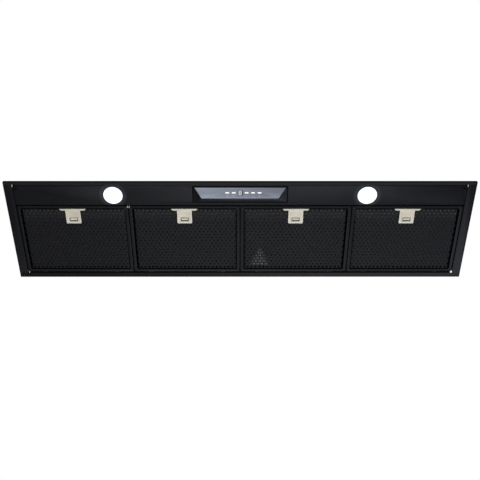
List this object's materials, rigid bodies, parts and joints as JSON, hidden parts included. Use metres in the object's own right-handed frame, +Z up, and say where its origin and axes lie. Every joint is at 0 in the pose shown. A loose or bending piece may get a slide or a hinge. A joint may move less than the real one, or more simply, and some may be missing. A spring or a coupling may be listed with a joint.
{
  "type": "undermount range hood",
  "caption": "Wide flat undermount range hood with black flange, hinged honeycomb grease filters, round lamps, sloped push-button panel, blower and round duct outlet.",
  "frame": {"origin": "middle of the flange's upper rim, the seat plane that bears on the underside of the cabinet", "axes": "+X to the right along the width, +Y to the rear wall, +Z up into the cabinet"},
  "size_m": [1.17, 0.286, 0.2035],
  "materials": {
    "flange_paint": "satin black powder coat",
    "fascia_paint": "satin black powder coat",
    "filter_paint": "black coated aluminium, satin",
    "filter_mesh": "crimped mesh, in the shade of the sheet",
    "latch_metal": "satin nickel",
    "latch_tongue": "satin nickel",
    "spring_steel": "spring strip",
    "galvanised": "galvanised sheet with spangle",
    "zinc_screw": "zinc plated",
    "duct_plastic": "moulded black",
    "flap_plastic": "moulded dark grey",
    "scroll_plastic": "moulded grey",
    "impeller_plastic": "moulded black",
    "motor_aluminium": "die cast",
    "shaft_steel": "ground steel",
    "bracket_steel": "zinc plated sheet",
    "bush_rubber": "matt",
    "capacitor_can": "white plastic can",
    "box_plastic": "moulded grey",
    "gland_plastic": "moulded black",
    "driver_plastic": "moulded white",
    "lamp_metal": "black bezel",
    "lamp_diffuser": "opal, lit",
    "panel_plastic": "satin black",
    "panel_face": "satin silver grey",
    "display": "smoked window",
    "board": "circuit board",
    "button_white": "translucent white"
  },
  "bodies": {
    "hood": {"canopy_frame": "flange_paint", "front_fascia": "fascia_paint", "body_wrap": "galvanised", "end_cap_left": "galvanised", "end_cap_right": "galvanised", "cross_bars": "flange_paint", "motor_housing": "galvanised", "outlet_spigot": "duct_plastic", "volute_left": "scroll_plastic", "volute_right": "scroll_plastic", "motor_can": "motor_aluminium", "motor_bracket": "bracket_steel", "motor_bushes": "bush_rubber", "capacitor": "capacitor_can", "terminal_box": "box_plastic", "terminal_lid": "box_plastic", "cable_gland": "gland_plastic", "led_driver": "driver_plastic", "lamp_body_left": "lamp_metal", "lamp_body_right": "lamp_metal", "lamp_lenses": "lamp_diffuser", "control_housing": "panel_plastic", "control_face": "panel_face", "display_window": "display", "control_board": "board", "body_screws": "zinc_screw"},
    "filter_1": {"filter_frame_1": "filter_paint", "filter_grille_1": "filter_paint", "filter_media_1": "filter_mesh", "latch_body_1": "latch_metal", "latch_spring_1": "spring_steel"},
    "latch_1": {"latch_slider_1": "latch_tongue"},
    "filter_2": {"filter_frame_2": "filter_paint", "filter_grille_2": "filter_paint", "filter_media_2": "filter_mesh", "latch_body_2": "latch_metal", "latch_spring_2": "spring_steel"},
    "latch_2": {"latch_slider_2": "latch_tongue"},
    "filter_3": {"filter_frame_3": "filter_paint", "filter_grille_3": "filter_paint", "filter_media_3": "filter_mesh", "latch_body_3": "latch_metal", "latch_spring_3": "spring_steel"},
    "latch_3": {"latch_slider_3": "latch_tongue"},
    "filter_4": {"filter_frame_4": "filter_paint", "filter_grille_4": "filter_paint", "filter_media_4": "filter_mesh", "latch_body_4": "latch_metal", "latch_spring_4": "spring_steel"},
    "latch_4": {"latch_slider_4": "latch_tongue"},
    "impeller_body": {"impeller_cages": "impeller_plastic", "impeller_disc": "impeller_plastic", "motor_shaft": "shaft_steel"},
    "flap_front": {"damper_flap_front": "flap_plastic"},
    "flap_rear": {"damper_flap_rear": "flap_plastic"},
    "button_timer_body": {"button_timer": "button_white"},
    "button_light_body": {"button_light": "button_white"},
    "button_down_body": {"button_down": "button_white"},
    "button_up_body": {"button_up": "button_white"},
    "button_power_body": {"button_power": "button_white"}
  },
  "joints": [
    {"name": "filter_1_swing", "type": "hinge", "parent": "hood", "child": "filter_1", "pos_m": [-0.42225, 0.129, -0.0049], "axis": [1, 0, 0], "range_deg": [0, 75]},
    {"name": "latch_1_slide", "type": "slide", "parent": "filter_1", "child": "latch_1", "axis": [0, 1, 0], "range_m": [0, 0.0026], "stiffness_N_per_m": 300, "springref_m": -0.01, "deforming": ["latch_spring_1"]},
    {"name": "filter_2_swing", "type": "hinge", "parent": "hood", "child": "filter_2", "pos_m": [-0.14075, 0.129, -0.0049], "axis": [1, 0, 0], "range_deg": [0, 75]},
    {"name": "latch_2_slide", "type": "slide", "parent": "filter_2", "child": "latch_2", "axis": [0, 1, 0], "range_m": [0, 0.0026], "stiffness_N_per_m": 300, "springref_m": -0.01, "deforming": ["latch_spring_2"]},
    {"name": "filter_3_swing", "type": "hinge", "parent": "hood", "child": "filter_3", "pos_m": [0.14075, 0.129, -0.0049], "axis": [1, 0, 0], "range_deg": [0, 75]},
    {"name": "latch_3_slide", "type": "slide", "parent": "filter_3", "child": "latch_3", "axis": [0, 1, 0], "range_m": [0, 0.0026], "stiffness_N_per_m": 300, "springref_m": -0.01, "deforming": ["latch_spring_3"]},
    {"name": "filter_4_swing", "type": "hinge", "parent": "hood", "child": "filter_4", "pos_m": [0.42225, 0.129, -0.0049], "axis": [1, 0, 0], "range_deg": [0, 75]},
    {"name": "latch_4_slide", "type": "slide", "parent": "filter_4", "child": "latch_4", "axis": [0, 1, 0], "range_m": [0, 0.0026], "stiffness_N_per_m": 300, "springref_m": -0.01, "deforming": ["latch_spring_4"]},
    {"name": "impeller_spin", "type": "hinge", "parent": "hood", "child": "impeller_body", "pos_m": [0, 0.026, 0.076], "axis": [1, 0, 0], "continuous": true},
    {"name": "flap_front_swing", "type": "hinge", "parent": "hood", "child": "flap_front", "pos_m": [0, 0.0345, 0.158], "axis": [-1, 0, 0], "range_deg": [0, 80]},
    {"name": "flap_rear_swing", "type": "hinge", "parent": "hood", "child": "flap_rear", "pos_m": [0, 0.0415, 0.158], "axis": [1, 0, 0], "range_deg": [0, 80]},
    {"name": "button_timer_press", "type": "slide", "parent": "hood", "child": "button_timer_body", "axis": [0, 0.3116, 0.9502], "range_m": [0, 0.0012], "stiffness_N_per_m": 800, "springref_m": -0.0005},
    {"name": "button_light_press", "type": "slide", "parent": "hood", "child": "button_light_body", "axis": [0, 0.3116, 0.9502], "range_m": [0, 0.0012], "stiffness_N_per_m": 800, "springref_m": -0.0005},
    {"name": "button_down_press", "type": "slide", "parent": "hood", "child": "button_down_body", "axis": [0, 0.3116, 0.9502], "range_m": [0, 0.0012], "stiffness_N_per_m": 800, "springref_m": -0.0005},
    {"name": "button_up_press", "type": "slide", "parent": "hood", "child": "button_up_body", "axis": [0, 0.3116, 0.9502], "range_m": [0, 0.0012], "stiffness_N_per_m": 800, "springref_m": -0.0005},
    {"name": "button_power_press", "type": "slide", "parent": "hood", "child": "button_power_body", "axis": [0, 0.3116, 0.9502], "range_m": [0, 0.0012], "stiffness_N_per_m": 800, "springref_m": -0.0005}
  ]
}
